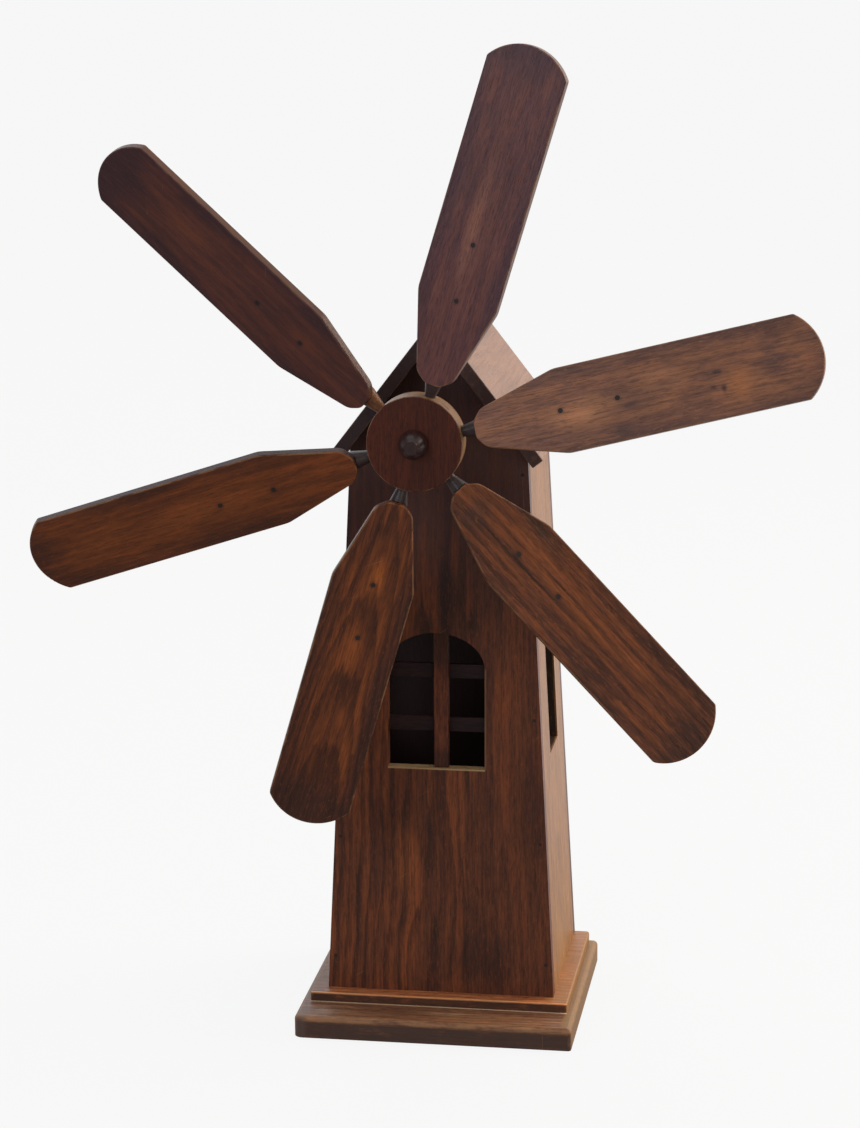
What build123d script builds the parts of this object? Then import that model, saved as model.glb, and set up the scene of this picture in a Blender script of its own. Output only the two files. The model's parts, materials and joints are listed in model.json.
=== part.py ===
"""Wooden model windmill: a tapered tower with a pitched roof and a six-bladed rotor.

Millimetres, Z up. The origin is the middle of the plinth's underside and the
front of the mill, where the rotor turns, faces -Y. Blades are numbered
anticlockwise as seen from the front, starting with the one that points right.
"""

import os
from math import cos, radians, sin, tan

from build123d import *

# Plinth and step board
plinth_width = 250.0
plinth_depth = 230.0
plinth_height = 20.0
plinth_corner = 3.0
plinth_worn_corner = 8.0  # the front left one
plinth_round = 4.5
step_width = 234.0
step_depth = 190.0
step_height = 8.0
step_corner = 3.0
step_round = 1.5
floor_z = plinth_height + step_height
step_y = (plinth_depth - step_depth) / 2

# Tower: four tapered boards, the foot flush with the back of the plinth
wall = 11.0
foot_width = 206.0
foot_depth = 174.0
side_slope = 0.0494  # inward run of the side walls per mm of height
face_slope = 0.0288  # the same for the front and back walls
tower_y = (plinth_depth - foot_depth) / 2
board_length = 640.0
board_spare = 2.0

# Roof: two boards meeting in a mitre at the ridge
roof_pitch = 52.5
roof_board = 11.5
ridge_z = 646.5
eave_x = 94.5
roof_front_y = -66.0
roof_back_y = 111.0
roof_edge_round = 1.2

# Windows: straight jambs under a flattened arch
window_sill = 210.0
window_height = 124.0
front_window_width = 87.0
front_window_rise = 32.0
front_window_x = -3.0
side_window_width = 56.0
side_window_rise = 26.0
side_window_shift = 5.0

# Glazing bars: one upright inside the opening, two rails behind it
bar_width = 13.0
mullion_inset = 3.0
mullion_x = 1.0
rail_length = 103.0
rail_thickness = 5.0
rail_heights = {"window_rail_lower": 248.0, "window_rail_upper": 297.0}

# Glue blocks inside the foot, and the inner board that carries the rear bearing
cleat = 14.0
cleat_length = 120.0
bearing_board_y = 20.0
bearing_board_thickness = 12.0
bearing_board_bottom = 490.0
bearing_board_top = 592.0

# Rotor shaft line
shaft_x = -5.0
shaft_z = 552.0
axle_radius = 4.0
running_clearance = 0.05
end_play = 0.5
bush_radius = 7.0
bush_length = 16.0
bush_overhang = 2.0
washer_radius = 9.0
washer_thickness = 1.5
sleeve_radius = 10.0
collar_radius = 9.0
collar_length = 10.0
pin_radius = 1.25
axle_tail = 4.0

# Hub: a disc with a turned knob in front
hub_radius = 41.0
hub_thickness = 23.0
hub_front_y = -146.5
hub_round = 0.8
knob_base_radius = 12.5
knob_tip_radius = 5.8
knob_length = 18.0
knob_tenon = 8.0

# Arms: turned dowels, thinned to a tenon at the hub, with a flat seat for the blade
arm_radius = 8.5
arm_tenon_radius = 5.0
arm_start = 18.0
arm_neck = 42.5
arm_full = 57.0
arm_end = 196.0
arm_chamfer = 1.5
arm_seat = 5.0
arm_seat_start = 53.0

# Blades: flat paddles with a bowed tip and a blunt tapered root
blade_thickness = 8.0
blade_half_width = 36.0
blade_root = 53.5
blade_root_half = 7.0
blade_cheek = 61.0
blade_cheek_half = 16.5
blade_shoulder = 128.0
blade_tip_corner = 333.0
blade_tip = 351.5
blade_offset = 2.5  # how far each blade sits to one side of its arm
blade_edge_round = 1.2
# Rounding of the outline's corners, keyed by how far out along the blade they are
blade_corners = {blade_root: 9.0, blade_cheek: 13.0, blade_shoulder: 22.0}
blade_tip_round = 4.0
# Direction round the hub and pitch in degrees, then how much longer than the drawing each is.
# The blades are hand-set, so no two are quite alike.
blade_settings = [
    (14.0, 16.0, 0.0),
    (73.0, 13.0, -4.0),
    (137.0, 26.0, 0.0),
    (198.0, 21.0, 0.0),
    (253.5, 11.0, 0.5),
    (313.0, 20.0, 3.0),
]

# Fasteners
nail_radius = 0.9
nail_head_radius = 1.6
nail_head = 0.8
nail_length = 28.0
nail_heights = (30.0, 143.0, 257.0, 371.0, 478.0)
screw_radius = 2.0
screw_head_radius = 4.0
screw_head = 3.0
screw_length = 39.0
screw_sink = 0.5
blade_nail_radius = 1.1
blade_nail_head_radius = 2.1
blade_nail_head = 0.8
blade_nail_length = 17.0
blade_nail_places = (128.0, 177.0)

# Planes of the four outer wall faces, with their local Y running up the wall
front_face = Plane(
    origin=(0, tower_y - foot_depth / 2, floor_z), x_dir=(1, 0, 0), z_dir=(0, -1, face_slope)
)
back_face = Plane(
    origin=(0, tower_y + foot_depth / 2, floor_z), x_dir=(-1, 0, 0), z_dir=(0, 1, face_slope)
)
right_face = Plane(
    origin=(foot_width / 2, tower_y, floor_z), x_dir=(0, 1, 0), z_dir=(1, 0, side_slope)
)
left_face = Plane(
    origin=(-foot_width / 2, tower_y, floor_z), x_dir=(0, -1, 0), z_dir=(-1, 0, side_slope)
)
# Local frame of the rotor: X right, Y up, Z forwards along the shaft, 0 at the hub's middle
rotor_plane = Plane(
    origin=(shaft_x, hub_front_y + hub_thickness / 2, shaft_z), x_dir=(1, 0, 0), z_dir=(0, -1, 0)
)

# Upright section of the knob: X sideways from the shaft line, Y forwards along it
knob_plane = Plane(origin=(shaft_x, hub_front_y, shaft_z), x_dir=(1, 0, 0), z_dir=(0, 0, -1))

roof_rise = tan(radians(roof_pitch))
roof_drop = roof_board / cos(radians(roof_pitch))
wall_run = wall * (1 + side_slope**2) ** 0.5
face_run = wall * (1 + face_slope**2) ** 0.5


def half_at(height, foot_half, slope):
    """Half the tower's width at a height above the floor."""
    return foot_half - slope * height


def shaft_plane(y):
    """Plane across the shaft at a given Y, facing forwards."""
    return Plane(origin=(shaft_x, y, shaft_z), x_dir=(1, 0, 0), z_dir=(0, -1, 0))


def arm_plane(direction, pitch):
    """Frame of one arm: X outwards along it, Z square to its blade's face."""
    out = Vector(cos(radians(direction)), 0, sin(radians(direction)))
    across = Vector(-sin(radians(direction)), 0, cos(radians(direction)))
    normal = Vector(0, -1, 0) * cos(radians(pitch)) + across * sin(radians(pitch))
    return Plane(origin=rotor_plane.origin, x_dir=out, z_dir=normal)


def blade_plane(direction, pitch):
    """Frame of one blade's front face, centred on the blade."""
    arm = arm_plane(direction, pitch)
    shift = arm.z_dir * (arm_seat + blade_thickness) - arm.y_dir * blade_offset
    return Plane(origin=arm.origin + shift, x_dir=arm.x_dir, z_dir=arm.z_dir)


def tapered_board(foot_half, slope):
    """Draws a wall board in the current sketch, a little long at both ends."""
    low = half_at(-board_spare, foot_half, slope)
    high = half_at(board_length, foot_half, slope)
    Polygon(
        (-low, -board_spare), (low, -board_spare), (high, board_length), (-high, board_length), align=None
    )


def window(centre, width, rise, mode):
    """Adds or cuts an arched window in the current sketch."""
    spring = window_height - rise
    with Locations((centre, window_sill + spring / 2)):
        Rectangle(width, spring, mode=mode)
    with Locations((centre, window_sill + spring)):
        Ellipse(width / 2, rise, mode=mode)


def wall_nail_places(face):
    """Nail positions down both edges of the front or back wall, on its outer face."""
    places = []
    for height in nail_heights:
        reach = half_at(height, foot_width / 2, side_slope) - wall / 2
        places += [face * Location((-reach, height, 0)), face * Location((reach, height, 0))]
    return places


# ---------------------------------------------------------------- fasteners
with BuildPart() as wall_nails:
    for face in (front_face, back_face):
        with Locations(*wall_nail_places(face)):
            Cylinder(nail_head_radius, nail_head, align=(Align.CENTER, Align.CENTER, Align.MAX))
            Cylinder(nail_radius, nail_length, align=(Align.CENTER, Align.CENTER, Align.MAX))

with BuildPart() as plinth_screws:
    with BuildSketch(Plane.XZ) as screw_profile:
        with BuildLine():
            Polyline(
                (0, screw_sink),
                (screw_head_radius, screw_sink),
                (screw_radius, screw_sink + screw_head),
                (screw_radius, screw_length - 2),
                (0, screw_length),
                (0, screw_sink),
            )
        make_face()
    screw_x = foot_width / 2 - wall - cleat / 2
    for x in (-screw_x, screw_x):
        for y in (tower_y - cleat_length / 3, tower_y + cleat_length / 3):
            revolve(screw_profile.sketch.moved(Location((x, y, 0))), axis=Axis((x, y, 0), (0, 0, 1)))

with BuildPart() as blade_nails:
    for direction, pitch, _ in blade_settings:
        face = blade_plane(direction, pitch)
        with Locations(*[face * Location((place, 0, 0)) for place in blade_nail_places]):
            Cylinder(blade_nail_head_radius, blade_nail_head, align=(Align.CENTER, Align.CENTER, Align.MAX))
            Cylinder(blade_nail_radius, blade_nail_length, align=(Align.CENTER, Align.CENTER, Align.MAX))

# ---------------------------------------------------------------- base
with BuildPart() as plinth:
    with BuildSketch() as outline:
        Rectangle(plinth_width, plinth_depth)
        fillet(outline.vertices().group_by(Axis.Y)[0].sort_by(Axis.X)[0], radius=plinth_worn_corner)
        fillet(outline.vertices().group_by(Axis.Y)[0].sort_by(Axis.X)[-1], radius=plinth_corner)
        fillet(outline.vertices().group_by(Axis.Y)[-1], radius=plinth_corner)
    extrude(amount=plinth_height)
    fillet(plinth.edges().group_by(Axis.Z)[-1], radius=plinth_round)
    add(plinth_screws.part, mode=Mode.SUBTRACT)
    # Open the screw wells through to the underside
    for x in (-screw_x, screw_x):
        for y in (tower_y - cleat_length / 3, tower_y + cleat_length / 3):
            with BuildSketch():
                with Locations((x, y)):
                    Circle(screw_head_radius)
            extrude(amount=screw_sink, mode=Mode.SUBTRACT)

with BuildPart() as step_board:
    with BuildSketch(Plane.XY.offset(plinth_height)):
        with Locations((0, step_y)):
            RectangleRounded(step_width, step_depth, step_corner)
    extrude(amount=step_height)
    fillet(step_board.edges().group_by(Axis.Z)[-1], radius=step_round)
    add(plinth_screws.part, mode=Mode.SUBTRACT)

# Everything the roof shelters: trims the tops and feet of the walls
with BuildPart() as shelter:
    with BuildSketch(Plane.XZ):
        inner_ridge_z = ridge_z - roof_drop
        inner_eave_z = inner_ridge_z - roof_rise * plinth_width / 2
        Polygon(
            (-plinth_width / 2, floor_z),
            (plinth_width / 2, floor_z),
            (plinth_width / 2, inner_eave_z),
            (0, inner_ridge_z),
            (-plinth_width / 2, inner_eave_z),
            align=None,
        )
    extrude(amount=plinth_depth, both=True)

# ---------------------------------------------------------------- tower walls
with BuildPart() as front_wall:
    with BuildSketch(front_face):
        tapered_board(foot_width / 2, side_slope)
        window(front_window_x, front_window_width, front_window_rise, Mode.SUBTRACT)
    extrude(amount=-wall)
    add(shelter.part, mode=Mode.INTERSECT)
    add(wall_nails.part, mode=Mode.SUBTRACT)
    with BuildSketch(shaft_plane(0)):
        Circle(bush_radius)
    extrude(amount=100, mode=Mode.SUBTRACT)

with BuildPart() as back_wall:
    with BuildSketch(back_face):
        tapered_board(foot_width / 2, side_slope)
    extrude(amount=-wall)
    add(shelter.part, mode=Mode.INTERSECT)
    add(wall_nails.part, mode=Mode.SUBTRACT)

side_walls = {}
for name, face, shift in (
    ("left_wall", left_face, -side_window_shift),
    ("right_wall", right_face, side_window_shift),
):
    with BuildPart() as side_wall:
        with BuildSketch(face):
            tapered_board(foot_depth / 2 - face_run, face_slope)
            window(shift, side_window_width, side_window_rise, Mode.SUBTRACT)
        extrude(amount=-wall)
        add(shelter.part, mode=Mode.INTERSECT)
        add(wall_nails.part, mode=Mode.SUBTRACT)
    side_walls[name] = side_wall

# ---------------------------------------------------------------- glazing bars
with BuildPart() as window_mullion:
    with BuildSketch(front_face.offset(-mullion_inset)):
        window(front_window_x, front_window_width, front_window_rise, Mode.ADD)
        with Locations((mullion_x, window_sill + window_height / 2)):
            Rectangle(bar_width, 2 * window_height, mode=Mode.INTERSECT)
    extrude(amount=mullion_inset - wall)

rails = {}
for name, height in rail_heights.items():
    with BuildPart() as rail:
        with BuildSketch(front_face.offset(-wall)):
            with Locations((front_window_x, height)):
                Rectangle(rail_length, bar_width)
        extrude(amount=-rail_thickness)
    rails[name] = rail

# ---------------------------------------------------------------- roof
roofs = {}
for name, side in (("roof_left", -1), ("roof_right", 1)):
    with BuildPart() as roof:
        with BuildSketch(Plane.XZ.offset(-roof_back_y)):
            eave_z = ridge_z - roof_rise * eave_x
            lap_x = roof_board * sin(radians(roof_pitch))
            lap_z = roof_board * cos(radians(roof_pitch))
            Polygon(
                (0, ridge_z),
                (side * eave_x, eave_z),
                (side * (eave_x - lap_x), eave_z - lap_z),
                (0, ridge_z - roof_drop),
                align=None,
            )
        extrude(amount=roof_back_y - roof_front_y)
        outer = roof.edges().filter_by(Axis.Y).sort_by(Axis.X)
        fillet(outer[-1] if side > 0 else outer[0], radius=roof_edge_round)
    roofs[name] = roof

# ---------------------------------------------------------------- inside the tower
cleats = {}
for name, side in (("foot_cleat_left", -1), ("foot_cleat_right", 1)):
    with BuildPart() as block:
        inner = foot_width / 2 - wall_run
        with BuildSketch(Plane.XZ.offset(-tower_y)):
            Polygon(
                (side * inner, floor_z),
                (side * (inner - cleat), floor_z),
                (side * (inner - cleat), floor_z + cleat),
                (side * (inner - side_slope * cleat), floor_z + cleat),
                align=None,
            )
        extrude(amount=cleat_length / 2, both=True)
        add(plinth_screws.part, mode=Mode.SUBTRACT)
    cleats[name] = block

with BuildPart() as bearing_board:
    with BuildSketch(Plane.XZ.offset(-bearing_board_y)):
        low_half = half_at(bearing_board_bottom - floor_z, foot_width / 2 - wall_run, side_slope)
        high_half = half_at(bearing_board_top - floor_z, foot_width / 2 - wall_run, side_slope)
        Polygon(
            (-low_half, bearing_board_bottom),
            (low_half, bearing_board_bottom),
            (high_half, bearing_board_top),
            (-high_half, bearing_board_top),
            align=None,
        )
        with Locations((shaft_x, shaft_z)):
            Circle(bush_radius, mode=Mode.SUBTRACT)
    extrude(amount=-bearing_board_thickness)
    add(shelter.part, mode=Mode.INTERSECT)

# ---------------------------------------------------------------- bearings and shaft
wall_face_y = tower_y - foot_depth / 2 + face_slope * (shaft_z - floor_z)
bush_fronts = {
    "front_bush": wall_face_y - bush_overhang,
    "rear_bush": bearing_board_y - bush_overhang,
}
bushes = {}
for name, start in bush_fronts.items():
    with BuildPart() as bush:
        with BuildSketch(shaft_plane(start)):
            Circle(bush_radius)
            Circle(axle_radius + running_clearance, mode=Mode.SUBTRACT)
        extrude(amount=-bush_length)
    bushes[name] = bush

front_washer_y = bush_fronts["front_bush"] - end_play - washer_thickness
rear_washer_y = bush_fronts["rear_bush"] + bush_length + end_play
collar_y = rear_washer_y + washer_thickness
axle_front_y = hub_front_y + knob_tenon
axle_back_y = collar_y + collar_length + axle_tail

washers = {}
for name, start in (("front_washer", front_washer_y), ("rear_washer", rear_washer_y)):
    with BuildPart() as washer:
        with BuildSketch(shaft_plane(start)):
            Circle(washer_radius)
            Circle(axle_radius, mode=Mode.SUBTRACT)
        extrude(amount=-washer_thickness)
    washers[name] = washer

with BuildPart() as spacer_sleeve:
    with BuildSketch(shaft_plane(hub_front_y + hub_thickness)):
        Circle(sleeve_radius)
        Circle(axle_radius, mode=Mode.SUBTRACT)
    extrude(amount=hub_front_y + hub_thickness - front_washer_y)

with BuildPart() as collar_pin:
    with BuildSketch(Plane(origin=(shaft_x, collar_y + collar_length / 2, shaft_z), z_dir=(0, 0, 1))):
        Circle(pin_radius)
    extrude(amount=collar_radius + 1, both=True)

with BuildPart() as collar:
    with BuildSketch(shaft_plane(collar_y)):
        Circle(collar_radius)
        Circle(axle_radius, mode=Mode.SUBTRACT)
    extrude(amount=-collar_length)
    add(collar_pin.part, mode=Mode.SUBTRACT)

with BuildPart() as axle:
    with BuildSketch(shaft_plane(axle_front_y)):
        Circle(axle_radius)
    extrude(amount=axle_front_y - axle_back_y)
    chamfer(axle.edges().sort_by(Axis.Y)[-1], length=0.8)
    add(collar_pin.part, mode=Mode.SUBTRACT)

# ---------------------------------------------------------------- rotor
arms = {}
blades = {}
for number, (direction, pitch, extra) in enumerate(blade_settings, start=1):
    arm_frame = arm_plane(direction, pitch)
    with BuildPart() as arm:
        with BuildSketch(arm_frame):
            with BuildLine():
                Polyline(
                    (arm_start, 0),
                    (arm_start, arm_tenon_radius),
                    (arm_neck, arm_tenon_radius),
                    (arm_full, arm_radius),
                    (arm_end - arm_chamfer, arm_radius),
                    (arm_end, arm_radius - arm_chamfer),
                    (arm_end, 0),
                    (arm_start, 0),
                )
            make_face()
        revolve(axis=Axis(arm_frame.origin, arm_frame.x_dir))
        with BuildSketch(arm_frame.offset(arm_seat)):
            with Locations((arm_end, 0)):
                Rectangle(2 * (arm_end - arm_seat_start), 4 * arm_radius)
        extrude(amount=arm_radius, mode=Mode.SUBTRACT)
        add(blade_nails.part, mode=Mode.SUBTRACT)
    arms[f"arm_{number}"] = arm

    tip_corner = blade_tip_corner + extra
    with BuildPart() as blade:
        with BuildSketch(blade_plane(direction, pitch)) as outline:
            with BuildLine():
                ThreePointArc(
                    (tip_corner, blade_half_width),
                    (blade_tip + extra, 0),
                    (tip_corner, -blade_half_width),
                )
                Polyline(
                    (tip_corner, -blade_half_width),
                    (blade_shoulder, -blade_half_width),
                    (blade_cheek, -blade_cheek_half),
                    (blade_root, -blade_root_half),
                    (blade_root, blade_root_half),
                    (blade_cheek, blade_cheek_half),
                    (blade_shoulder, blade_half_width),
                    (tip_corner, blade_half_width),
                )
            make_face()
            for place, radius in (*blade_corners.items(), (tip_corner, blade_tip_round)):
                corner = outline.vertices().filter_by_position(Axis.X, place - 0.1, place + 0.1)
                fillet(corner, radius=radius)
        extrude(amount=-blade_thickness)
        fillet(blade.faces().sort_by(SortBy.AREA)[-2:].edges(), radius=blade_edge_round)
        add(blade_nails.part, mode=Mode.SUBTRACT)
    blades[f"blade_{number}"] = blade

with BuildPart() as hub_knob:
    with BuildSketch(knob_plane):
        with BuildLine():
            Polyline(
                (0, -knob_tenon),
                (axle_radius, -knob_tenon),
                (axle_radius, 0),
                (knob_base_radius, 0),
                (knob_base_radius, 2.5),
            )
            ThreePointArc(
                (knob_base_radius, 2.5),
                (knob_base_radius - 1.8, knob_length * 0.58),
                (knob_tip_radius + 0.5, knob_length - 1.0),
            )
            Line((knob_tip_radius + 0.5, knob_length - 1.0), (knob_tip_radius, knob_length))
            Polyline((knob_tip_radius, knob_length), (0, knob_length), (0, -knob_tenon))
        make_face()
    revolve(axis=Axis(knob_plane.origin, (0, -1, 0)))

with BuildPart() as hub_disc:
    with BuildSketch(rotor_plane.offset(-hub_thickness / 2)):
        Circle(hub_radius)
    extrude(amount=hub_thickness)
    fillet(hub_disc.edges(), radius=hub_round)
    with BuildSketch(rotor_plane.offset(-hub_thickness / 2)):
        Circle(axle_radius)
    extrude(amount=hub_thickness, mode=Mode.SUBTRACT)
    for arm in arms.values():
        add(arm.part, mode=Mode.SUBTRACT)

# ---------------------------------------------------------------- write every piece
pieces = {
    "plinth": plinth,
    "step_board": step_board,
    "front_wall": front_wall,
    "back_wall": back_wall,
    **side_walls,
    "window_mullion": window_mullion,
    **rails,
    **roofs,
    **cleats,
    "bearing_board": bearing_board,
    **bushes,
    "wall_nails": wall_nails,
    "plinth_screws": plinth_screws,
    "axle": axle,
    "spacer_sleeve": spacer_sleeve,
    **washers,
    "collar": collar,
    "collar_pin": collar_pin,
    "hub_disc": hub_disc,
    "hub_knob": hub_knob,
    **arms,
    **blades,
    "blade_nails": blade_nails,
}
os.makedirs("parts", exist_ok=True)
for name, piece in pieces.items():
    piece.part.label = name
    export_step(piece.part, f"parts/{name}.step")
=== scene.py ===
"""Wooden model windmill: worn, dark-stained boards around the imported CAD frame.

Metres, Z up, front towards -Y."""

import json
import math
import random

import bmesh
import bpy
import numpy as np
from mathutils import Matrix, Vector


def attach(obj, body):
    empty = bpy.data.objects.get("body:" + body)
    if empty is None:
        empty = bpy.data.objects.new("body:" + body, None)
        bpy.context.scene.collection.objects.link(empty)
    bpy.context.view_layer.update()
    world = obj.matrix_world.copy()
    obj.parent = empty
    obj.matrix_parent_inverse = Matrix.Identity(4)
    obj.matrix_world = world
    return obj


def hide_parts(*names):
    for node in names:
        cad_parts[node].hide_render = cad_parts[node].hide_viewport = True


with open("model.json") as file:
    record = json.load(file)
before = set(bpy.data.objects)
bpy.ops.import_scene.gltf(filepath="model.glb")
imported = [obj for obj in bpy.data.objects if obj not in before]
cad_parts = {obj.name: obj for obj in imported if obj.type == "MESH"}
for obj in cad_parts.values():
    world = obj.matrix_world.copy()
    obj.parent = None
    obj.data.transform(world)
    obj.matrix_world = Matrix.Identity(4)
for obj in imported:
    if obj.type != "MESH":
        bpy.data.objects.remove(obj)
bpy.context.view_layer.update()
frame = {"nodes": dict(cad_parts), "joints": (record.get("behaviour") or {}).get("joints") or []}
nodes = frame["nodes"]
scene = bpy.context.scene
WELD = 1e-6  # points of a CAD mesh closer than this become one
FLAT_ANGLE = math.radians(0.3)  # faces that meet within this angle are merged
SHARP_ANGLE = math.radians(28)  # edges past this angle stay sharp
STRIP_WIDTH = 0.0009  # narrower faces count as part of a rounded edge


# ------------------------------------------------------------------ meshes
def axes_matrix(origin, along, face):
    """Local frame with X along the grain and Z out of the board's face."""
    z = Vector(face).normalized()
    x = Vector(along)
    x = (x - z * x.dot(z)).normalized()
    y = z.cross(x)
    m = Matrix((x, y, z)).transposed().to_4x4()
    m.translation = origin
    return m


def middle_of(node):
    """The middle of the box round a CAD node."""
    points = np.array([v.co for v in nodes[node].data.vertices], float)
    return (points.max(0) + points.min(0)) / 2


def clean_copy(node, merge=True):
    """A copy of a CAD node's mesh, its flat faces merged unless it is a turned piece."""
    bm = bmesh.new()
    bm.from_mesh(nodes[node].data)
    bmesh.ops.remove_doubles(bm, verts=bm.verts, dist=WELD)
    if merge:
        bmesh.ops.dissolve_limit(bm, angle_limit=FLAT_ANGLE, verts=bm.verts, edges=bm.edges)
    return bm


def ease_edges(bm, width):
    """Rounds every sharp edge over by a small width."""
    sharp = [e for e in bm.edges if len(e.link_faces) == 2 and e.calc_face_angle() > SHARP_ANGLE]
    bmesh.ops.bevel(
        bm, geom=sharp, offset=width, offset_type="OFFSET", segments=4, profile=0.5,
        affect="EDGES", clamp_overlap=True,
    )


def is_strip(face):
    """True for the thin faces that make up a rounded edge."""
    return 2 * face.calc_area() / max(face.calc_perimeter(), 1e-9) < STRIP_WIDTH


def add_piece(name, bm, grain_frame, body, material, replaced):
    """Turns a bmesh into a piece that rides on a CAD body and stands for its nodes.

    Two attributes go to the shaders: "grain", the place in the board's own frame, and "edge", 1 along
    rounded edges."""
    bmesh.ops.recalc_face_normals(bm, faces=bm.faces)
    for edge in bm.edges:
        edge.smooth = len(edge.link_faces) == 2 and edge.calc_face_angle() < SHARP_ANGLE
    mesh = bpy.data.meshes.new(name)
    on_edge = [1.0 if all(is_strip(f) for f in v.link_faces) else 0.0 for v in bm.verts]
    bm.to_mesh(mesh)
    bm.free()
    for extra in [a.name for a in mesh.attributes if a.name.startswith("custom_normal")]:
        mesh.attributes.remove(mesh.attributes[extra])
    inverse = grain_frame.inverted()
    places = np.array([inverse @ v.co for v in mesh.vertices], "f").ravel()
    mesh.attributes.new("grain", "FLOAT_VECTOR", "POINT").data.foreach_set("vector", places)
    mesh.attributes.new("edge", "FLOAT", "POINT").data.foreach_set("value", on_edge)
    mesh.materials.clear()
    mesh.materials.append(material)
    piece = bpy.data.objects.new(name, mesh)
    scene.collection.objects.link(piece)
    for polygon in mesh.polygons:
        polygon.use_smooth = True
    weighted = piece.modifiers.new("flat faces", "WEIGHTED_NORMAL")
    weighted.keep_sharp = True
    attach(piece, body)
    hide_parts(*replaced)


# ------------------------------------------------------------------ shader building
class Graph:
    """A thin layer over a node tree, so that a shader reads as a list of steps."""

    def __init__(self, tree):
        self.tree = tree

    def node(self, kind, inputs=(), **settings):
        made = self.tree.nodes.new("ShaderNode" + kind)
        for key, value in settings.items():
            setattr(made, key, value)
        for key, value in dict(inputs).items():
            self.feed(made.inputs[key], value)
        return made

    def feed(self, socket, value):
        if isinstance(value, bpy.types.NodeSocket):
            self.tree.links.new(value, socket)
        else:
            socket.default_value = value

    def math(self, operation, *values, clamp=False):
        made = self.node("Math", operation=operation, use_clamp=clamp)
        for socket, value in zip(made.inputs, values):
            self.feed(socket, value)
        return made.outputs[0]

    def vector(self, operation, *values, output="Vector"):
        made = self.node("VectorMath", operation=operation)
        for socket, value in zip(made.inputs, values):
            self.feed(socket, value)
        return made.outputs[output]

    def scaled(self, vector, factors):
        return self.vector("MULTIPLY", vector, factors)

    def times(self, product, *factors):
        for factor in factors:
            product = self.math("MULTIPLY", product, factor)
        return product

    def noise(self, vector, scale=1.0, detail=2.0, roughness=0.5, output="Fac"):
        made = self.node(
            "TexNoise", {"Vector": vector, "Scale": scale, "Detail": detail, "Roughness": roughness}
        )
        return made.outputs[output]

    def ramp(self, value, low, high, to_low=0.0, to_high=1.0):
        """Smooth step from to_low at low to to_high at high."""
        made = self.node(
            "MapRange",
            {"Value": value, "From Min": low, "From Max": high, "To Min": to_low, "To Max": to_high},
            interpolation_type="SMOOTHSTEP",
        )
        return made.outputs["Result"]

    def mix(self, factor, a, b):
        made = self.node("Mix", data_type="RGBA")
        for socket, value in zip((made.inputs[0], made.inputs[6], made.inputs[7]), (factor, a, b)):
            self.feed(socket, value)
        return made.outputs[2]

    def axes(self, vector):
        return self.node("SeparateXYZ", {"Vector": vector}).outputs


def colour(r, g, b):
    """Linear colour from 0-255 sRGB."""
    return tuple(((c / 255 + 0.055) / 1.055) ** 2.4 if c > 10 else c / 3294.6 for c in (r, g, b)) + (1.0,)


def new_material(name):
    material = bpy.data.materials.new(name)
    material.use_nodes = True
    return material, Graph(material.node_tree), material.node_tree.nodes["Principled BSDF"].inputs


# ------------------------------------------------------------------ wood and metal
# The noise behind each layer of the wood: steps per metre along the grain, across it and through the board,
# then its detail and its roughness
LAYERS = {
    "uneven": ((5.0, 40.0, 40.0), 4.0, 0.6),
    "fibre": ((16.0, 520.0, 520.0), 5.0, 0.65),
    "pore": ((70.0, 1300.0, 1300.0), 2.0, 0.5),
    "dash": ((110.0, 620.0, 620.0), 3.0, 0.6),
    "blotch": ((10.0, 24.0, 24.0), 4.0, 0.6),
    "fleck": ((160.0, 420.0, 420.0), 3.0, 0.6),
    "rub": ((45.0, 120.0, 120.0), 4.0, 0.65),
}
DRIFT_SCALE = (3.5, 9.0, 9.0)
SCRATCH_SCALE = (900.0, 26.0, 26.0)
SCRATCHED_SCALE = (40.0, 40.0, 40.0)

# The noise values between which each layer comes in
STREAKS = (0.38, 0.64)
FIBRES = (0.40, 0.70)
PORES = (0.58, 0.70)
DARK_DASHES = (0.50, 0.66)
PALE_DASHES = (0.46, 0.34)
BLOTCHES = (0.42, 0.68)
FLECKS = (0.60, 0.72)
RUBBED = (0.38, 0.60)
SCUFFED = (0.25, 0.50)
SCRATCHES = (0.735, 0.76)
SCRATCHED = (0.52, 0.60)

# A growth ring darkens slowly and ends sharply
LATE_RISE = (0.25, 0.85)
LATE_FALL = (0.88, 1.0)
RING_WANDER = 2.4  # how many rings the noise can move a ring by

PALE_DASH_SHARE = 0.7  # strength of the pale dashes beside the dark ones
BLOTCH_SHARE = 0.6
PORE_DARKNESS = 0.5
PORE_STRENGTH = 0.4
FLECK_STRENGTH = 0.30
SCRATCH_SLANT = 0.7
PATCH_UNEVEN = 0.9  # how far the streaks reach into a patch's border
PATCH_BORDER = (0.55, 1.35)  # in reaches of the patch
BOX_LEAST = 0.6  # share of its strength that a box keeps where it is weakest
SEAM_HALF = 0.0015
# Depth and strength of the painted shade on the inner faces of the walls
INSIDE_DEPTH = 0.0012
INSIDE_STRENGTH = 0.9
NAIL_HALO = (0.0018, 0.0048)
HALO_STRENGTH = 0.45
RELIEF = 0.00025  # height of the grain's relief
FIBRE_HEIGHT, LATE_HEIGHT, PORE_DEPTH = 0.6, -0.4, 0.8  # shares of that relief
FIBRE_DULLNESS, WORN_DULLNESS = 0.22, 0.2

TARNISH_SCALE = 400.0
TARNISHED = (0.4, 0.62)  # the noise values between which tarnish comes in
DULLED = (0.3, 0.7)

BARE_WOOD = (150, 110, 76)
# Painted shade: colour that darkens the inner faces of the walls, for the shade inside the tower
INSIDE_SHADE = (56, 44, 46)

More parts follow.
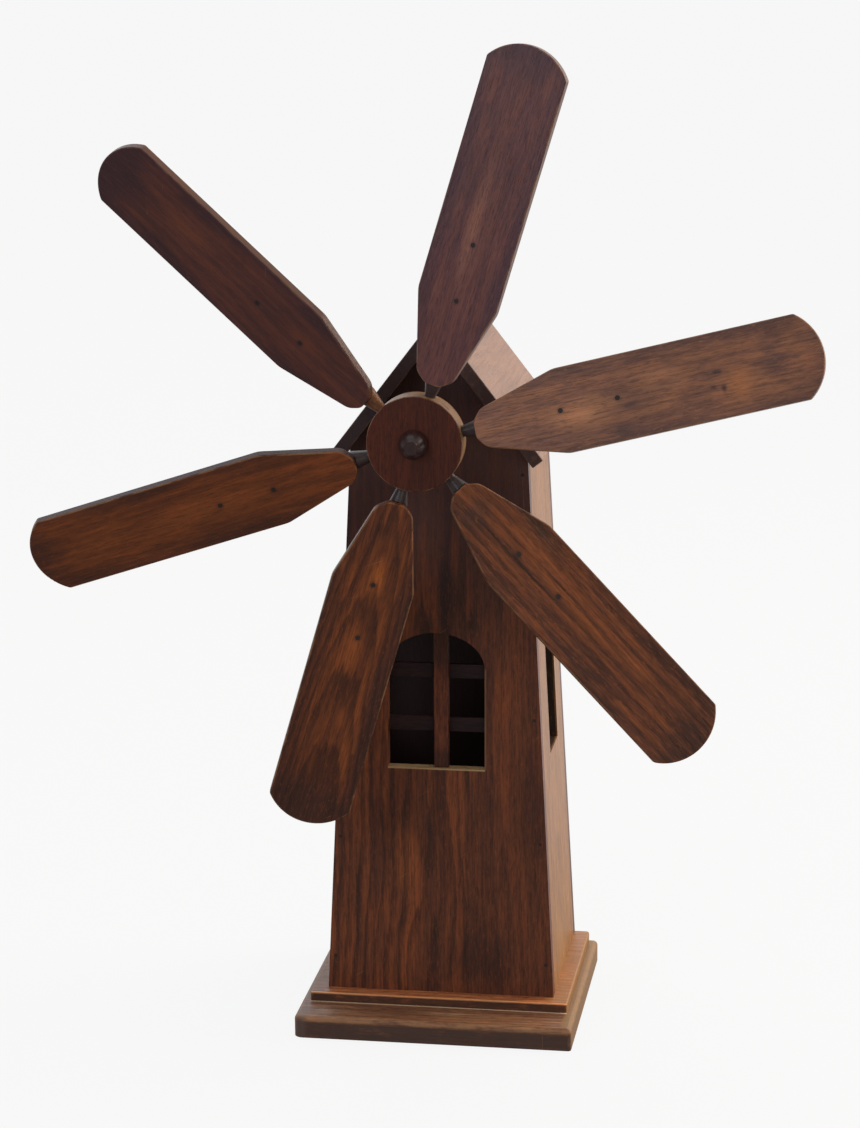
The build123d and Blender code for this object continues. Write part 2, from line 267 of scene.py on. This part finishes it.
BLADE_HALF = 0.036  # half the width of a blade
RIM_IN, RIM_OUT = 0.017, 0.001  # a blade's dark rim begins inside its long edge and is full just outside it
TIP_IN, TIP_OUT = 0.035, 0.004  # the same at its tip
RIM_UNEVEN, TIP_UNEVEN = 0.03, 0.06
TURNED_SIDE = (0.0098, 0.0108)  # where the side of the hub gives way to its front face
TURNED_SOFT = 0.0006


def stained(rgb, tint):
    """Linear colour of a board's stain, from 0-255 sRGB and the board's tint."""
    return tuple(part * factor for part, factor in zip(colour(*rgb), tint)) + (1.0,)


def rim_mask(g, here, blotch, tip):
    """1 along the long edges and the tip of a blade, with an uneven border."""
    uneven = g.math("SUBTRACT", blotch, 0.5)
    aside = g.math("ADD", g.math("ABSOLUTE", here["Y"]), g.times(uneven, RIM_UNEVEN))
    outwards = g.math("ADD", here["X"], g.times(uneven, TIP_UNEVEN))
    sides = g.ramp(aside, BLADE_HALF - RIM_IN, BLADE_HALF + RIM_OUT)
    return g.math("MAXIMUM", sides, g.ramp(outwards, tip - TIP_IN, tip + TIP_OUT))


def scratch_mask(g, moved):
    """1 on fine slanting lines, in a few places only."""
    slant = g.node("CombineXYZ", {"X": g.times(g.axes(moved)["Y"], SCRATCH_SLANT)}).outputs[0]
    slant = g.scaled(g.vector("ADD", moved, slant), SCRATCH_SCALE)
    lines = g.ramp(g.noise(slant, detail=1.0), *SCRATCHES)
    return g.times(lines, g.ramp(g.noise(g.scaled(moved, SCRATCHED_SCALE)), *SCRATCHED))


def box_mask(g, here, ranges, soft, rub, strength):
    """The strength inside a box of the board's frame, a little uneven."""
    within = g.ramp(rub, *SCUFFED, strength * BOX_LEAST, strength)
    for axis, (low, high) in zip("XYZ", ranges):
        if low is not None:
            within = g.times(within, g.ramp(here[axis], low - soft, low + soft))
        if high is not None:
            within = g.times(within, g.ramp(here[axis], high - soft, high + soft, 1.0, 0.0))
    return within


def turned_side_mask(g, place, here, rub, radius):
    """1 on the side of a round block, outside a radius from its axis, broken up by the rub noise."""
    from_axis = g.vector("LENGTH", g.scaled(place, (1.0, 1.0, 0.0)), output="Value")
    side = g.times(g.ramp(from_axis, radius - TURNED_SOFT, radius), g.ramp(rub, *SCUFFED))
    return g.times(side, g.ramp(here["Z"], *TURNED_SIDE, 1.0, 0.0))


def wood(
    name,
    light,
    middle,
    dark,
    rings=(0.006, 0.01, -0.05, 0.04),
    ring_strength=0.35,
    fibre_strength=0.45,
    streak_strength=0.8,
    streak_scale=(9.0, 120.0),
    blotch_strength=0.5,
    patches=(),
    wear=0.5,
    scratches=0.0,
    rough=0.40,
    specular=0.25,
    inside=None,
    nails=(),
    tint=(1, 1, 1),
    wander=0.035,
    rim=None,
    seam=None,
    outer=None,
    boxes=(),
    dashes=0.5,
):
    """Stained wood, grain along the board frame's X.

    rings: spacing, heart y, heart z, taper. patch: x, y, reach x, reach y, colour, strength. rim: tip x,
    colour, strength. seam: y, strength of the streaks short of it. outer: radius, colour, strength.
    box: three (low, high) pairs, colour, strength, softness."""
    material, g, surface = new_material(name)
    chance = random.Random(name)
    shift = tuple(chance.uniform(-3, 3) for _ in range(3))
    light, middle, dark = (stained(stain, tint) for stain in (light, middle, dark))
    place = g.node("Attribute", attribute_name="grain").outputs["Vector"]
    edge = g.node("Attribute", attribute_name="edge").outputs["Fac"]
    here = g.axes(place)
    moved = g.vector("ADD", place, shift)
    layers = {
        layer: g.noise(g.scaled(moved, steps), detail=detail, roughness=roughness)
        for layer, (steps, detail, roughness) in LAYERS.items()
    }
    blotch, rub = layers["blotch"], layers["rub"]

    # The grain drifts sideways along the board
    drift = g.noise(g.scaled(moved, DRIFT_SCALE), output="Color")
    drift = g.scaled(g.vector("SUBTRACT", drift, (0.5, 0.5, 0.5)), (0.0, wander, wander))
    bent = g.axes(g.vector("ADD", place, drift))
    along, beside = streak_scale
    streak = g.scaled(g.vector("ADD", moved, drift), (along, beside, beside))
    streak = g.noise(streak, detail=4.0, roughness=0.6)

    # Growth rings, by the distance from the heart of the tree
    spacing, heart_y, heart_z, taper = rings
    from_heart = {
        "X": 0.0,
        "Y": g.math("SUBTRACT", bent["Y"], heart_y),
        "Z": g.math("SUBTRACT", bent["Z"], heart_z),
    }
    radius = g.vector("LENGTH", g.node("CombineXYZ", from_heart).outputs[0], output="Value")
    radius = g.math("ADD", radius, g.times(bent["X"], taper))
    turn = g.math("ADD", g.math("DIVIDE", radius, spacing), g.times(layers["uneven"], RING_WANDER))
    phase = g.math("FRACT", turn)
    late = g.times(g.ramp(phase, *LATE_RISE), g.ramp(phase, *LATE_FALL, 1.0, 0.0))

    # The stain and its larger marks
    lit = g.times(g.ramp(streak, *STREAKS), streak_strength)
    if seam:
        seam_y, short_of_it = seam
        beyond = g.ramp(here["Y"], seam_y - SEAM_HALF, seam_y + SEAM_HALF, short_of_it, 1.0)
        lit = g.times(lit, beyond)
        late = g.times(late, beyond)
    tone = g.mix(lit, middle, light)
    for x, y, reach_x, reach_y, mark, strength in patches:
        offset = g.scaled(g.vector("SUBTRACT", place, (x, y, 0.0)), (1 / reach_x, 1 / reach_y, 0.0))
        far = g.math("ADD", g.vector("LENGTH", offset, output="Value"), g.times(streak, PATCH_UNEVEN))
        tone = g.mix(g.times(g.ramp(far, *PATCH_BORDER, 1.0, 0.0), strength), tone, stained(mark, tint))
    if rim:
        tip, mark, strength = rim
        tone = g.mix(g.times(rim_mask(g, here, blotch, tip), strength), tone, stained(mark, tint))

    # The fine layers of the grain
    darkest = tuple(part * PORE_DARKNESS for part in dark[:3]) + (1.0,)
    fibre, dash = layers["fibre"], layers["dash"]
    pores = g.ramp(layers["pore"], *PORES)
    tone = g.mix(g.times(late, ring_strength), tone, dark)
    tone = g.mix(g.times(g.ramp(fibre, *FIBRES), fibre_strength), tone, dark)
    tone = g.mix(g.ramp(dash, *DARK_DASHES, 0.0, dashes), tone, dark)
    tone = g.mix(g.ramp(dash, *PALE_DASHES, 0.0, dashes * PALE_DASH_SHARE), tone, light)
    tone = g.mix(g.times(g.ramp(blotch, *BLOTCHES), blotch_strength * BLOTCH_SHARE), tone, dark)
    tone = g.mix(g.times(pores, PORE_STRENGTH), tone, darkest)
    tone = g.mix(g.ramp(layers["fleck"], *FLECKS, 0.0, FLECK_STRENGTH), tone, light)
    # Painted shade on the inner faces of the walls, for the dark inside the tower
    if inside is not None:
        inner = g.ramp(here["Z"], inside, inside + INSIDE_DEPTH, INSIDE_STRENGTH, 0.0)
        tone = g.mix(inner, tone, colour(*INSIDE_SHADE))

    # Boxes of painted light and shade on some faces and edges and colours of their own on others, then bare
    # wood on the rounded edges and in the scratches
    for *ranges, mark, strength, soft in boxes:
        tone = g.mix(box_mask(g, here, ranges, soft, rub, strength), tone, colour(*mark))
    # The side of a turned block: paler, partly as rubbed bare wood and partly as painted light on its lit rim
    if outer:
        side_radius, mark, strength = outer
        side = turned_side_mask(g, place, here, rub, side_radius)
        tone = g.mix(g.times(side, strength), tone, colour(*mark))
    worn = g.times(edge, g.ramp(rub, *RUBBED), wear)
    if scratches:
        worn = g.math("ADD", worn, g.times(scratch_mask(g, moved), scratches), clamp=True)
    tone = g.mix(worn, tone, colour(*BARE_WOOD))

    # Dark halo in the finish round each nail
    for x, y in nails:
        near = g.vector("DISTANCE", g.scaled(place, (1.0, 1.0, 0.0)), (x, y, 0.0), output="Value")
        tone = g.mix(g.ramp(near, *NAIL_HALO, HALO_STRENGTH, 0.0), tone, dark)

    # Relief: fibres stand up, late wood and pores lie deeper; worn wood is duller
    height = g.math("ADD", g.times(fibre, FIBRE_HEIGHT), g.times(late, LATE_HEIGHT))
    height = g.math("SUBTRACT", height, g.times(pores, PORE_DEPTH))
    bump = g.node("Bump", {"Height": height, "Distance": RELIEF, "Strength": 0.5})
    dullness = g.math("ADD", g.times(fibre, FIBRE_DULLNESS), rough - FIBRE_DULLNESS / 2)
    dullness = g.math("ADD", dullness, g.times(worn, WORN_DULLNESS))

    g.feed(surface["Base Color"], tone)
    g.feed(surface["Roughness"], dullness)
    g.feed(surface["Specular IOR Level"], specular)
    g.feed(surface["Normal"], bump.outputs["Normal"])
    return material


def metal(name, base, tarnish, roughness, metallic=1.0):
    """Dull metal with blotches of tarnish."""
    material, g, surface = new_material(name)
    coords = g.node("TexCoord").outputs["Object"]
    patches = g.noise(coords, scale=TARNISH_SCALE, detail=4.0, roughness=0.6)
    bump = g.node("Bump", {"Height": patches, "Distance": 0.0001, "Strength": 0.4})
    g.feed(surface["Base Color"], g.mix(g.ramp(patches, *TARNISHED), colour(*base), colour(*tarnish)))
    g.feed(surface["Metallic"], metallic)
    g.feed(surface["Roughness"], g.ramp(patches, *DULLED, roughness - 0.08, roughness + 0.15))
    g.feed(surface["Normal"], bump.outputs["Normal"])
    return material


# ------------------------------------------------------------------ boards
UP, RIGHT, FRONT, BACK = (0, 0, 1), (1, 0, 0), (0, -1, 0), (0, 1, 0)
SLOPE = math.radians(52.5)
INSIDE = -0.0108  # the inner face of an 11 mm wall, in the frame of its outer face
EASED = 0.0008  # rounding of the edges of the boards
FINELY_EASED = 0.0006  # and of the blocks inside the tower
ANY = (None, None)  # a box without limits along an axis

# Places are in each board's own frame, in metres along the grain and across it
# Painted shade for the side window's reveal
REVEAL_SHADE = (40, 29, 26)
# Painted shade: the window rails get a near-black copy of the bar wood, darker than the mullion, for the
# shade they lie in behind it
shaded_rail_look = dict(
    tint=(2.15, 1.85, 2.15),
    light=(40, 28, 26), middle=(30, 22, 21), dark=(20, 15, 15), specular=0.1, wear=0.05,
)
ROOF_EDGE = ((None, -0.0865), ANY, (None, 0.0048), (60, 46, 47), 0.9, 0.0008)
looks = {
    "plinth": dict(
        tint=(1.10, 1.05, 1.00),
        light=(150, 106, 76), middle=(118, 80, 58), dark=(62, 42, 33), scratches=0.8, specular=0.2,
        # Painted light and shade: a darker front face for its shade, paler right and left ends and top right
        # edge where light falls, and a bright painted highlight line across the top
        boxes=(
            (ANY, (None, -0.1130), (None, 0.0052), (71, 53, 48), 0.9, 0.0015),
            ((0.1150, None), (-0.109, None), ANY, (130, 98, 60), 0.8, 0.0015),
            ((0.1165, None), (-0.109, None), (0.009, None), (134, 101, 62), 0.7, 0.0015),
            ((-0.117, 0.117), (-0.0774, -0.0750), (0.009, None), (206, 174, 140), 0.9, 0.0004),
            ((None, -0.1140), ANY, ANY, (96, 76, 70), 0.6, 0.0030),
        ),
        patches=(
            (0.02, -0.092, 0.05, 0.005, (176, 144, 116), 0.7),
            (-0.09, -0.098, 0.03, 0.006, (170, 138, 112), 0.7),
            (0.09, -0.104, 0.03, 0.004, (168, 128, 96), 0.6),
        ),
    ),
    "step_board": dict(
        tint=(1.80, 2.00, 2.30),
        light=(170, 96, 50), middle=(128, 70, 40), dark=(52, 32, 26), specular=0.2,
        # Painted light and shade: paler left and right ends and top right for the lit sides, a bright painted
        # highlight along the top front edge, and a darker front face for its shade
        boxes=(
            ((None, -0.1000), ANY, ANY, (92, 70, 60), 0.8, 0.0050),
            ((0.1155, None), ANY, ANY, (142, 106, 60), 0.7, 0.0008),
            ((0.098, None), (-0.09, None), (0.003, None), (150, 110, 62), 0.8, 0.0030),
            (ANY, (-0.0946, -0.0926), (0.0030, None), (226, 150, 92), 0.85, 0.0003),
            (ANY, (None, -0.0940), (None, 0.0031), (66, 44, 36), 0.92, 0.0003),
        ),
    ),
    "front_wall": dict(
        tint=(1.65, 1.60, 1.55),
        light=(112, 60, 34), middle=(76, 43, 30), dark=(34, 22, 20), inside=INSIDE, specular=0.18,
        rings=(0.0095, 0.004, -0.016, 0.03), ring_strength=0.55, streak_scale=(4.5, 95.0),
        seam=(-0.027, 0.45), dashes=0.35, scratches=0.25,
        patches=(
            (0.372, -0.006, 0.070, 0.016, (34, 24, 26), 0.9),
            (0.335, 0.010, 0.022, 0.010, (38, 25, 25), 0.7),
            (0.342, -0.030, 0.030, 0.007, (38, 25, 25), 0.8),
            (0.275, -0.056, 0.060, 0.012, (118, 62, 34), 0.6),
            (0.200, -0.060, 0.080, 0.016, (110, 58, 34), 0.6),
            (0.120, 0.030, 0.050, 0.016, (122, 68, 36), 0.6),
            (0.060, -0.010, 0.060, 0.006, (104, 58, 34), 0.5),
            (0.035, -0.040, 0.050, 0.045, (48, 29, 25), 0.6),
            (0.090, 0.075, 0.120, 0.008, (42, 29, 26), 0.7),
        ),
        nails=((0.3423, -0.0267),),
        boxes=(
            # A pale line along the window sill: partly bare cut wood, partly painted light on the lit sill
            ((0.2086, 0.2104), (-0.0408, 0.0467), ANY, (172, 142, 102), 0.85, 0.0004),
            # Painted shade: the wall darkens towards the top, under the roof
            ((0.400, None), ANY, ANY, (80, 59, 58), 0.70, 0.050),
            ((0.540, None), ANY, ANY, (44, 31, 31), 0.75, 0.030),
            # The same pale line down the window's left reveal: partly bare cut wood, partly painted light
            ((0.2100, 0.302), (-0.0420, -0.0404), ANY, (120, 86, 62), 0.7, 0.0004),
        ),
    ),
    "back_wall": dict(
        light=(112, 60, 34), middle=(76, 43, 30), dark=(34, 22, 20), inside=INSIDE, ring_strength=0.3,
    ),
    "left_wall": dict(light=(150, 96, 60), middle=(122, 76, 50), dark=(74, 46, 32), inside=INSIDE),
    "right_wall": dict(
        # Its stain is paler and yellower than the front and back walls: partly painted light of the lit right
        # side
        tint=(1.15, 1.10, 0.80),
        light=(158, 112, 76), middle=(136, 94, 64), dark=(98, 66, 46), inside=INSIDE,
        streak_strength=0.5,
        # Painted shade in the side window's reveal
        boxes=(((0.2095, 0.336), (-0.034, 0.034), (None, -0.0015), REVEAL_SHADE, 0.95, 0.0006),),
        patches=((0.03, 0.0, 0.08, 0.12, (170, 124, 80), 0.6),),
    ),
    "window_mullion": dict(
        tint=(1.35, 1.40, 1.70),
        light=(120, 64, 36), middle=(88, 46, 29), dark=(42, 26, 21), specular=0.15, wear=0.05,
        # Painted shade: darker at the top and bottom of the mullion, where it lies in shade
        boxes=(
            ((0.030, None), ANY, ANY, (54, 34, 28), 0.8, 0.014),
            ((None, -0.044), ANY, ANY, (54, 33, 27), 0.8, 0.010),
        ),
    ),
    "window_rail_lower": shaded_rail_look,
    "window_rail_upper": shaded_rail_look,
    "roof_left": dict(
        light=(100, 68, 50), middle=(78, 54, 42), dark=(46, 32, 28),
        boxes=(ROOF_EDGE,),
    ),
    "roof_right": dict(
        # Much paler than the left slope: painted light and painted sheen of the lit right slope
        tint=(0.90, 0.90, 0.90),
        light=(152, 108, 82), middle=(136, 94, 70), dark=(110, 76, 58),
        streak_strength=0.5, fibre_strength=0.2, scratches=0.4, dashes=0.2,
        boxes=(ROOF_EDGE,),
    ),
}


boards = {
    # node: (origin of its frame, or None for its middle, grain direction, face direction, edge easing, slot)
    "plinth": (None, RIGHT, UP, 0, "base_wood"),
    "step_board": (None, RIGHT, UP, 0, "base_wood"),
    "front_wall": ((0, -0.059, 0.028), UP, (0, -1, 0.0288), EASED, "tower_wood"),
    "back_wall": ((0, 0.115, 0.028), UP, (0, 1, 0.0288), EASED, "tower_wood"),
    "left_wall": ((-0.103, 0.028, 0.028), UP, (-1, 0, 0.0494), EASED, "tower_wood"),
    "right_wall": ((0.103, 0.028, 0.028), UP, (1, 0, 0.0494), EASED, "tower_wood"),
    "window_mullion": (None, UP, FRONT, EASED, "bar_wood"),
    "window_rail_lower": (None, RIGHT, FRONT, EASED, "bar_wood"),
    "window_rail_upper": (None, RIGHT, FRONT, EASED, "bar_wood"),
    "roof_left": (None, BACK, (-math.sin(SLOPE), 0, math.cos(SLOPE)), EASED, "roof_wood"),
    "roof_right": (None, BACK, (math.sin(SLOPE), 0, math.cos(SLOPE)), EASED, "roof_wood"),
}
for node, (origin, along, face, ease, slot) in boards.items():
    bm = clean_copy(node)
    if ease:
        ease_edges(bm, ease)
    grain_frame = axes_matrix(origin or middle_of(node), along, face)
    material = wood(node + "_wood", **looks[node])
    add_piece(node + "_board", bm, grain_frame, "tower", material, [node])

# ------------------------------------------------------------------ rotor
BLADE_NAILS = ((0.128, 0.0), (0.177, 0.0))
BLADE_FACE = 0.013  # from the middle of an arm to the front face of its blade
BLADE_ASIDE = 0.0025  # how far a blade sits to one side of its arm
CUT_SIDE = -0.0010  # below this, a blade's cut sides can have a colour of their own
PALE_ARM = 3
# direction round the hub, pitch, material settings with the colour of the cut sides
blades = (
    (14, 16, dict(
        tint=(1.50, 1.35, 1.40),
        light=(136, 92, 60), middle=(104, 70, 52), dark=(60, 42, 36), blotch_strength=0.7, ring_strength=0.12,
        streak_scale=(12.0, 140.0), dashes=0.4,
        rim=(0.36, (70, 50, 45), 0.7),
        patches=(
            (0.150, -0.006, 0.050, 0.020, (170, 120, 78), 0.65),
            (0.215, 0.006, 0.040, 0.018, (166, 114, 74), 0.55),
            (0.279, -0.010, 0.020, 0.022, (150, 98, 56), 0.9),
            (0.338, -0.006, 0.012, 0.020, (134, 88, 60), 0.7),
            (0.330, 0.030, 0.020, 0.006, (128, 86, 58), 0.6),
            (0.310, 0.002, 0.018, 0.028, (74, 54, 50), 0.7),
            (0.262, 0.003, 0.006, 0.003, (44, 30, 28), 0.9),
            (0.257, -0.009, 0.004, 0.003, (50, 34, 30), 0.8),
            (0.2655, -0.012, 0.004, 0.006, (48, 33, 30), 0.9),
            (0.187, -0.008, 0.016, 0.005, (66, 46, 40), 0.8),
            (0.176, -0.028, 0.018, 0.006, (66, 48, 46), 0.8),
        ),
    )),
    (73, 13, dict(
        tint=(1.35, 1.10, 1.40),
        light=(104, 68, 50), middle=(82, 52, 45), dark=(54, 36, 35), side=(104, 82, 74),
        ring_strength=0.1, fibre_strength=0.25,
        rim=(0.345, (58, 42, 46), 0.75),
        patches=(
            (0.200, 0.004, 0.090, 0.011, (144, 102, 72), 0.75),
            (0.110, 0.010, 0.040, 0.008, (104, 68, 50), 0.5),
            (0.290, -0.012, 0.050, 0.008, (96, 62, 52), 0.5),
        ),
    )),
    (137, 26, dict(
        tint=(1.45, 1.25, 1.40),
        light=(90, 52, 36), middle=(68, 42, 35), dark=(44, 29, 29), side=(90, 56, 38),
        ring_strength=0.1, fibre_strength=0.25, specular=0.2, wear=0.2, dashes=0.3,
        rim=(0.33, (50, 35, 38), 0.8), scratches=0.5,
        patches=(
            (0.262, -0.006, 0.040, 0.014, (98, 58, 36), 0.7),
            (0.126, -0.004, 0.035, 0.016, (92, 52, 34), 0.6),
        ),
    )),
    (198, 21, dict(
        tint=(1.45, 1.35, 1.20),
        light=(116, 62, 33), middle=(88, 48, 29), dark=(50, 30, 24), side=(60, 50, 54),
        ring_strength=0.15, fibre_strength=0.3, specular=0.15, dashes=0.3,
        rim=(0.35, (56, 36, 32), 0.7), streak_scale=(12.0, 160.0),
        patches=(
            (0.190, 0.0, 0.080, 0.022, (132, 74, 38), 0.5),
            (0.290, 0.004, 0.040, 0.014, (120, 66, 36), 0.4),
        ),
    )),
    (253.5, 11, dict(
        tint=(1.40, 1.30, 1.30),
        light=(120, 66, 34), middle=(84, 46, 29), dark=(42, 27, 22),
        ring_strength=0.6, blotch_strength=0.2, specular=0.15, dashes=0.3,
        rings=(0.0068, 0.0, -0.018, -0.10), wander=0.016, rim=(0.33, (54, 35, 31), 0.85), scratches=0.7,
        patches=(
            (0.125, 0.002, 0.034, 0.010, (150, 84, 38), 0.95),
            (0.090, -0.004, 0.020, 0.006, (120, 66, 34), 0.7),
            (0.190, -0.002, 0.036, 0.012, (134, 74, 36), 0.8),
            (0.251, 0.006, 0.014, 0.009, (116, 64, 34), 0.7),
            (0.223, 0.026, 0.060, 0.010, (58, 38, 34), 0.7),
        ),
    )),
    (313, 20, dict(
        tint=(1.15, 1.00, 1.00),
        light=(144, 84, 44), middle=(98, 57, 37), dark=(40, 26, 22), side=(96, 58, 40),
        ring_strength=0.45, specular=0.15, dashes=0.35,
        rings=(0.0085, 0.045, -0.02, 0.012), streak_scale=(6.0, 115.0), wander=0.02,
        rim=(0.345, (66, 43, 36), 0.7),
        patches=(
            (0.078, 0.0, 0.024, 0.026, (72, 53, 46), 0.7),
            (0.137, -0.005, 0.070, 0.0022, (44, 28, 24), 0.9),
            (0.165, 0.008, 0.045, 0.0020, (46, 30, 25), 0.8),
            (0.219, 0.002, 0.060, 0.008, (150, 88, 44), 0.7),
            (0.272, 0.008, 0.030, 0.010, (146, 86, 46), 0.6),
            (0.178, 0.018, 0.030, 0.006, (138, 80, 42), 0.6),
            (0.125, 0.028, 0.040, 0.008, (70, 56, 44), 0.7),
            (0.233, -0.026, 0.070, 0.010, (72, 46, 40), 0.7),
        ),
    )),
)
arm_look = dict(
    light=(74, 54, 50), middle=(56, 42, 40), dark=(36, 28, 28), specular=0.3, rough=0.34, wear=0.0,
)
pale_arm_look = dict(light=(140, 90, 52), middle=(108, 66, 42), dark=(64, 40, 30), specular=0.2, wear=0.0)
hub_centre = Vector(frame["joints"][0]["pos_m"])
for number, (turn, pitch, look) in enumerate(blades, start=1):
    turn, pitch = math.radians(turn), math.radians(pitch)
    out = Vector((math.cos(turn), 0, math.sin(turn)))
    face = Vector(FRONT) * math.cos(pitch) + Vector((-out.z, 0, out.x)) * math.sin(pitch)
    across = face.cross(out)
    blade_frame = axes_matrix(hub_centre + face * BLADE_FACE - across * BLADE_ASIDE, out, face)
    blade, arm = f"blade_{number}", f"arm_{number}"
    look["nails"] = BLADE_NAILS
    if "side" in look:
        look["boxes"] = ((ANY, ANY, (None, CUT_SIDE), look.pop("side"), 0.8, 0.0004),)
    material = wood(blade + "_wood", **look)
    add_piece(blade + "_paddle", clean_copy(blade), blade_frame, "rotor", material, [blade])
    arm_frame = axes_matrix(hub_centre, out, face)
    material = wood(arm + "_wood", **(pale_arm_look if number == PALE_ARM else arm_look))
    add_piece(arm + "_dowel", clean_copy(arm, merge=False), arm_frame, "rotor", material, [arm])

hub_look = dict(
    tint=(1.10, 0.85, 0.75),
    light=(92, 50, 36), middle=(74, 41, 32), dark=(44, 27, 25),
    # outer paints the hub's side paler: partly rubbed bare wood, partly painted light on the lit rim
    ring_strength=0.1, streak_strength=0.5, specular=0.15, outer=(0.0404, (130, 98, 64), 0.75),
)
knob_look = dict(
    tint=(0.80, 0.60, 0.60),
    light=(72, 48, 42), middle=(50, 34, 32), dark=(32, 24, 25),
    ring_strength=0.1, specular=0.4, rough=0.34, wear=0.0,
)
raw_look = dict(light=(190, 150, 104), middle=(170, 130, 88), dark=(120, 84, 54), wear=0.0)
blocks = {
    # node: (grain direction, face direction, edge easing, body, slot, material settings)
    "hub_disc": (UP, FRONT, 0, "rotor", "hub_wood", hub_look),
    "hub_knob": (UP, FRONT, 0, "rotor", "hub_wood", knob_look),
    "spacer_sleeve": (BACK, UP, 0, "rotor", "arm_wood", arm_look),
    "foot_cleat_left": (BACK, UP, FINELY_EASED, "tower", "raw_wood", raw_look),
    "foot_cleat_right": (BACK, UP, FINELY_EASED, "tower", "raw_wood", raw_look),
    "bearing_board": (RIGHT, FRONT, FINELY_EASED, "tower", "raw_wood", raw_look),
}
for node, (along, face, ease, body, slot, look) in blocks.items():
    bm = clean_copy(node, merge=ease > 0)
    if ease:
        ease_edges(bm, ease)
    material = wood(node + "_wood", **look)
    add_piece(node + "_block", bm, axes_matrix(middle_of(node), along, face), body, material, [node])

metals = (
    (metal("iron", (34, 27, 25), (52, 36, 30), 0.6, metallic=0.4), ["wall_nails", "blade_nails"]),
    (metal("steel", (150, 150, 152), (110, 104, 98), 0.35), ["plinth_screws", "axle", "collar_pin"]),
    (
        metal("brass", (168, 138, 84), (110, 84, 50), 0.4),
        ["front_bush", "rear_bush", "front_washer", "rear_washer", "collar"],
    ),
)
for material, names in metals:
    for node in names:
        nodes[node].data.materials.clear()
        nodes[node].data.materials.append(material)


# ------------------------------------------------------------------ floor, light and camera
FLOOR_RADIUS = 30.0
FLOOR_SEEN = 0.88  # brightness of the floor where the camera sees it
FLOOR_GREY = (0.05, 0.05, 0.05, 1)
BOUNCE_RANGE = (-0.2, 0.9)  # the floor's light on the mill grows over this range of Y
BOUNCE = (0.24, 0.88)
SKY_SEEN = (0.93, 0.93, 0.93, 1.0)
SKY_LEFT = (0.86, 0.93, 1.0, 1.0)
SKY_RIGHT = (1.0, 0.93, 0.85, 1.0)


def area(name, place, aim, size, power, tint):
    """A soft lamp that the camera doesn't see: metres, watts."""
    lamp = bpy.data.lights.new(name, "AREA")
    lamp.shape = "RECTANGLE"
    lamp.size, lamp.size_y = size
    lamp.energy = power
    lamp.color = tint
    made = bpy.data.objects.new(name, lamp)
    scene.collection.objects.link(made)
    made.location = place
    made.rotation_euler = (Vector(aim) - Vector(place)).to_track_quat("-Z", "Y").to_euler()
    made.visible_camera = False


floor_mesh = bpy.data.meshes.new("floor")
bm = bmesh.new()
bmesh.ops.create_circle(bm, cap_ends=True, radius=FLOOR_RADIUS, segments=96)
bm.to_mesh(floor_mesh)
bm.free()
floor = bpy.data.objects.new("floor", floor_mesh)
scene.collection.objects.link(floor)
floor_material, g, _ = new_material("pale_floor")
seen = g.node("LightPath").outputs["Is Camera Ray"]
hidden = g.math("SUBTRACT", 1.0, seen)
bounce = g.ramp(g.axes(g.node("TexCoord").outputs["Object"])["Y"], *BOUNCE_RANGE, *BOUNCE)
strength = g.math("ADD", g.times(seen, FLOOR_SEEN), g.times(hidden, bounce))
matte = g.node("BsdfDiffuse", {"Color": FLOOR_GREY})
glow = g.node("Emission", {"Color": (1, 1, 1, 1), "Strength": strength})
both = g.node("AddShader")
g.feed(both.inputs[0], matte.outputs[0])
g.feed(both.inputs[1], glow.outputs[0])
g.feed(g.tree.nodes["Material Output"].inputs["Surface"], both.outputs[0])
floor_mesh.materials.append(floor_material)

scene.world = bpy.data.worlds.new("studio")
scene.world.use_nodes = True
g = Graph(scene.world.node_tree)
background = g.tree.nodes["Background"].inputs
direction = g.axes(g.node("TexCoord").outputs["Generated"])
seen = g.node("LightPath").outputs["Is Camera Ray"]
sky = g.mix(g.ramp(direction["X"], -0.8, 0.8), SKY_LEFT, SKY_RIGHT)
# Brighter behind the mill and overhead than in front of it
from_behind = g.ramp(direction["Y"], -0.1, 0.75, 0.14, 1.5)
overhead = g.ramp(direction["Z"], 0.35, 1.0, 0.0, 0.9)
sky_strength = g.times(g.math("SUBTRACT", 1.0, seen), g.math("ADD", from_behind, overhead))
g.feed(background["Color"], g.mix(seen, sky, SKY_SEEN))
g.feed(background["Strength"], g.math("ADD", sky_strength, seen))

area(
    "right_back", place=(2.4, 0.9, 1.3), aim=(0, 0, 0.45), size=(1.6, 2.0), power=70, tint=(1.0, 0.92, 0.82)
)
area(
    "window_left", place=(-1.3, -2.5, 1.5), aim=(0, 0, 0.5), size=(1.5, 1.3), power=22, tint=(0.80, 0.89, 1.0)
)
area(
    "front_soft", place=(1.2, -2.8, 0.7), aim=(0, 0, 0.4), size=(1.6, 1.6), power=16, tint=(1.0, 0.88, 0.74)
)

CAMERA_PLACE = (0.420115, -2.755103, 1.100401)
HEADING, PITCH, ROLL = (math.radians(a) for a in (8.984, 13.858, 0.505))
LENS = 102.37  # mm, on a sensor 36 mm high
scene.view_settings.view_transform = "Standard"
camera_data = bpy.data.cameras.new("camera")
camera_data.sensor_fit = "VERTICAL"
camera_data.sensor_height = 36.0
camera_data.lens = LENS
camera = bpy.data.objects.new("camera", camera_data)
scene.collection.objects.link(camera)
scene.camera = camera
camera.matrix_world = (
    Matrix.Translation(CAMERA_PLACE)
    @ Matrix.Rotation(HEADING, 4, "Z")
    @ Matrix.Rotation(math.pi / 2 - PITCH, 4, "X")
    @ Matrix.Rotation(-ROLL, 4, "Z")
)

bpy.context.view_layer.update()
